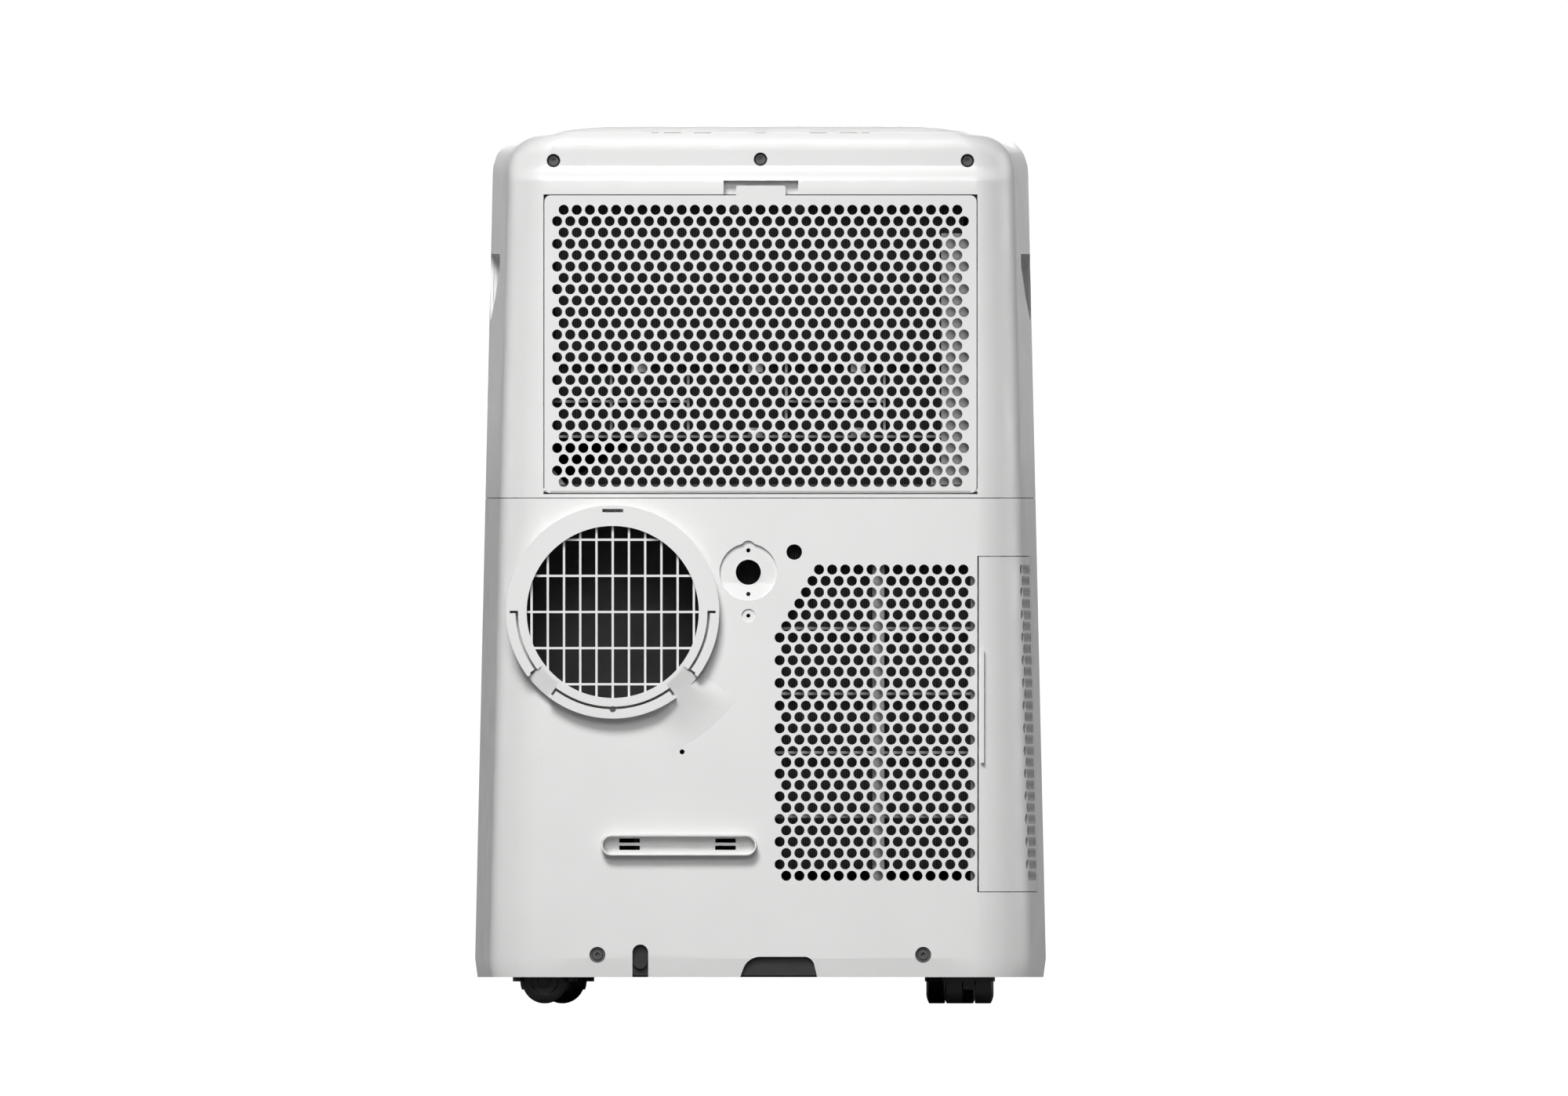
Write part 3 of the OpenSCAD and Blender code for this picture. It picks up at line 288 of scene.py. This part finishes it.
def screw_heads():
    """Centre and seat of each screw head, found from the screws' own mesh."""
    groups = {}
    for vertex in nodes["cover_screws"].data.vertices:
        key = (round(vertex.co.x / SCREW_CELL), vertex.co.z > UPPER_Z)
        groups.setdefault(key, []).append(vertex.co)
    heads = []
    for points in groups.values():
        xs, ys, zs = ([point[axis] for point in points] for axis in range(3))
        heads.append(((min(xs) + max(xs)) / 2, min(ys) + HEAD_DEPTH, (min(zs) + max(zs)) / 2))
    return sorted(heads)


def shade_washers():
    """A dished dark ring round each screw head, all of them in one mesh: painted shade standing in for
    the deep, unlit screw recesses.
    """
    mesh = bpy.data.meshes.new("screw_shade_washers")
    points, faces = [], []
    for x, seat, z in screw_heads():
        rim = UPPER_RIM_R if z > UPPER_Z else LOWER_RIM_R
        profile = [(HEAD_R, SHADE_WASHER_GAP), (rim, SHADE_WASHER_GAP), (rim, SHADE_WASHER_RISE),
                   (rim - RIM_WALL, SHADE_WASHER_RISE), (HEAD_R, SHADE_WASHER_DISH)]
        first, count = len(points), len(profile)
        for k in range(SHADE_WASHER_STEPS):
            turn = 2 * math.pi * k / SHADE_WASHER_STEPS
            points += [(x + r * math.cos(turn), seat - lift, z + r * math.sin(turn))
                       for r, lift in profile]
        for k in range(SHADE_WASHER_STEPS):
            here, after = first + k * count, first + (k + 1) % SHADE_WASHER_STEPS * count
            for i in range(count):
                j = (i + 1) % count
                faces.append([here + i, here + j, after + j, after + i])
    mesh.from_pydata(points, [], faces)
    # Dark steel: the ring is painted shade in the screw recess, not a real washer's colour.
    mesh.materials.append(MATERIALS["screw_steel"])
    shell = bmesh.new()
    shell.from_mesh(mesh)
    bmesh.ops.recalc_face_normals(shell, faces=shell.faces)
    shell.to_mesh(mesh)
    shell.free()
    obj = bpy.data.objects.new("screw_shade_washers", mesh)
    bpy.context.scene.collection.objects.link(obj)
    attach(obj, "cabinet")
    finish(obj)


shade_washers()


# ---- generic marks printed on the keys, and indicator dots on the panel ----

INK = 0.10 * MM          # thickness of the print
STROKE = 0.6             # width of a line, in millimetres as all outlines are
ARC_STEPS = 28
DISC_STEPS = 24


def arc(radius, start, end):
    """Outline of a curved stroke; the angles are in degrees."""
    turns = [math.radians(start + (end - start) * k / ARC_STEPS) for k in range(ARC_STEPS + 1)]
    outer, inner = radius + STROKE / 2, radius - STROKE / 2
    return ([(outer * math.cos(t), outer * math.sin(t)) for t in turns]
            + [(inner * math.cos(t), inner * math.sin(t)) for t in reversed(turns)])


def bar(x0, x1, y0, y1):
    return [(x0, y0), (x1, y0), (x1, y1), (x0, y1)]


def disc(x, y, radius):
    turns = [2 * math.pi * k / DISC_STEPS for k in range(DISC_STEPS)]
    return [(x + radius * math.cos(t), y + radius * math.sin(t)) for t in turns]


def printed(name, outlines, centre, body, slot_name):
    """Thin closed plates on a face, read from the outlet side, so turned half round."""
    mesh = bpy.data.meshes.new(name)
    points, faces = [], []
    for outline in outlines:
        first, count = len(points), len(outline)
        for height in (0.0, INK):
            points += [(centre[0] - x * MM, centre[1] - y * MM, centre[2] + height)
                       for x, y in outline]
        faces.append([first + k for k in reversed(range(count))])
        faces.append([first + count + k for k in range(count)])
        for k in range(count):
            after = (k + 1) % count
            faces.append([first + k, first + after, first + count + after, first + count + k])
    mesh.from_pydata(points, [], faces)
    mesh.materials.append(MATERIALS[slot_name])
    obj = bpy.data.objects.new(name, mesh)
    bpy.context.scene.collection.objects.link(obj)
    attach(obj, body)


def face_centre(node):
    """Middle of a node's top."""
    low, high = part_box(node)
    return ((low.x + high.x) / 2, (low.y + high.y) / 2, high.z)


DOT_Y = -18.0            # millimetres from the body's middle, turned half round like the marks
printed("power_mark", [arc(2.6, -240, 60), bar(-STROKE / 2, STROKE / 2, 0.8, 3.6)],
        face_centre("power_button"), "power_key", "dark_plastic")
printed("mode_mark", [bar(-2.6, 2.6, y - STROKE / 2, y + STROKE / 2) for y in (-1.8, 0.0, 1.8)],
        face_centre("mode_button"), "mode_key", "dark_plastic")
petals = [disc(1.9 * math.cos(math.radians(a)), 1.9 * math.sin(math.radians(a)), 1.15)
          for a in (90, 210, 330)]
printed("fan_mark", petals + [disc(0, 0, 0.5)], face_centre("fan_button"), "fan_key", "dark_plastic")
printed("timer_mark", [arc(2.8, 100, 440), bar(-STROKE / 2, STROKE / 2, -STROKE / 2, 1.7),
                       bar(STROKE / 2 + 0.02, 1.6, -STROKE / 2, STROKE / 2)],
        face_centre("timer_button"), "timer_key", "dark_plastic")
minus = bar(-11.0, -7.0, -0.4, 0.4)
plus = [(7.0, -0.4), (8.6, -0.4), (8.6, -2.0), (9.4, -2.0), (9.4, -0.4), (11.0, -0.4),
        (11.0, 0.4), (9.4, 0.4), (9.4, 2.0), (8.6, 2.0), (8.6, 0.4), (7.0, 0.4)]
printed("temperature_marks", [minus, plus],
        face_centre("temperature_rocker"), "temperature_key", "dark_plastic")
panel_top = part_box("control_panel")[1].z
printed("indicator_dots", [disc(x, DOT_Y, 0.9) for x in (-70, -46, -30, -10, 10, 30, 46, 70)],
        (0.0, 0.0, panel_top), "cabinet", "white_plastic")


# ---- studio ----

CAMERA_WIDTH = 1.25
CAMERA_PLACE = (0.01875, -3.0, 0.3631)
CAMERA_REACH = 50
FLOOR_HALF = 6.0
FLOOR_GREY = 0.45        # of the paper, as the camera sees it
FLOOR_GLOW = 0.45        # added to it, so that it stays pale away from the lamps
FLOOR_BOUNCE = 0.20      # grey of the paper for all other light
SKY_SEEN = 1.05
SKY_CAST = 0.10
AIM = (0, 0, 0.35)       # middle of the object


def studio_floor():
    """Pale paper to the camera, which throws only a little light back up."""
    mesh = bpy.data.meshes.new("floor")
    corners = [(x * FLOOR_HALF, y * FLOOR_HALF, 0.0) for x, y in ((-1, -1), (1, -1), (1, 1), (-1, 1))]
    mesh.from_pydata(corners, [], [(0, 1, 2, 3)])
    floor = bpy.data.objects.new("floor", mesh)
    bpy.context.scene.collection.objects.link(floor)
    paper = surface("floor_paper", (FLOOR_GREY,) * 3, 0.9, blotch=0.8, variation=0.01, specular=0.2)
    tree = paper.node_tree
    glow = tree.nodes["Principled BSDF"]
    glow.inputs["Emission Color"].default_value = grey(1.0)
    glow.inputs["Emission Strength"].default_value = FLOOR_GLOW
    dim = tree.nodes.new("ShaderNodeBsdfDiffuse")
    dim.inputs["Color"].default_value = grey(FLOOR_BOUNCE)
    path = tree.nodes.new("ShaderNodeLightPath")
    mix = tree.nodes.new("ShaderNodeMixShader")
    link(tree, path, "Is Camera Ray", mix, "Fac")
    tree.links.new(dim.outputs[0], mix.inputs[1])
    tree.links.new(glow.outputs[0], mix.inputs[2])
    link(tree, mix, 0, tree.nodes["Material Output"], "Surface")
    mesh.materials.append(paper)


def studio_camera():
    """Level and square on to the service side, without perspective, as the photograph looks."""
    data = bpy.data.cameras.new("camera")
    data.type = "ORTHO"
    data.ortho_scale = CAMERA_WIDTH
    data.clip_end = CAMERA_REACH
    camera = bpy.data.objects.new("camera", data)
    camera.location = CAMERA_PLACE
    camera.rotation_euler = (math.pi / 2, 0, 0)
    bpy.context.scene.collection.objects.link(camera)
    bpy.context.scene.camera = camera


def softbox(name, place, aim, width, height, power, spread=180):
    """A rectangular lamp; `power` is in watts and `spread` in degrees."""
    data = bpy.data.lights.new(name, "AREA")
    data.shape = "RECTANGLE"
    data.size = width
    data.size_y = height
    data.energy = power
    data.spread = math.radians(spread)
    lamp = bpy.data.objects.new(name, data)
    lamp.location = place
    lamp.rotation_euler = (Vector(aim) - Vector(place)).to_track_quat("-Z", "Y").to_euler()
    bpy.context.scene.collection.objects.link(lamp)


def studio_world():
    """White to the camera, and a much weaker white light all round."""
    world = bpy.data.worlds.new("studio")
    bpy.context.scene.world = world
    world.use_nodes = True
    tree = world.node_tree
    tree.nodes.clear()
    seen = tree.nodes.new("ShaderNodeBackground")
    seen.inputs["Color"].default_value = grey(1.0)
    seen.inputs["Strength"].default_value = SKY_SEEN
    cast = tree.nodes.new("ShaderNodeBackground")
    cast.inputs["Color"].default_value = grey(1.0)
    cast.inputs["Strength"].default_value = SKY_CAST
    path = tree.nodes.new("ShaderNodeLightPath")
    mix = tree.nodes.new("ShaderNodeMixShader")
    out = tree.nodes.new("ShaderNodeOutputWorld")
    link(tree, path, "Is Camera Ray", mix, "Fac")
    tree.links.new(cast.outputs[0], mix.inputs[1])
    tree.links.new(seen.outputs[0], mix.inputs[2])
    link(tree, mix, 0, out, "Surface")


studio_floor()
studio_camera()
studio_world()
softbox("key", (-0.6, -2.5, 2.5), (0, -0.17, 0.22), 1.1, 0.9, 8.9, spread=50)
softbox("low_key", (-0.2, -3.0, 1.4), (0, -0.17, 0.18), 1.1, 0.9, 2.1, spread=50)
softbox("front", (0.0, -3.4, 0.7), AIM, 2.4, 1.8, 2.5)
softbox("left", (-2.5, 0.9, 0.9), AIM, 1.6, 1.6, 18)
softbox("right", (2.5, 0.9, 0.9), AIM, 1.6, 1.6, 29)
softbox("back", (0.0, 3.2, 1.3), AIM, 1.2, 1.8, 55)
bpy.context.scene.view_settings.view_transform = "Standard"

bpy.context.view_layer.update()
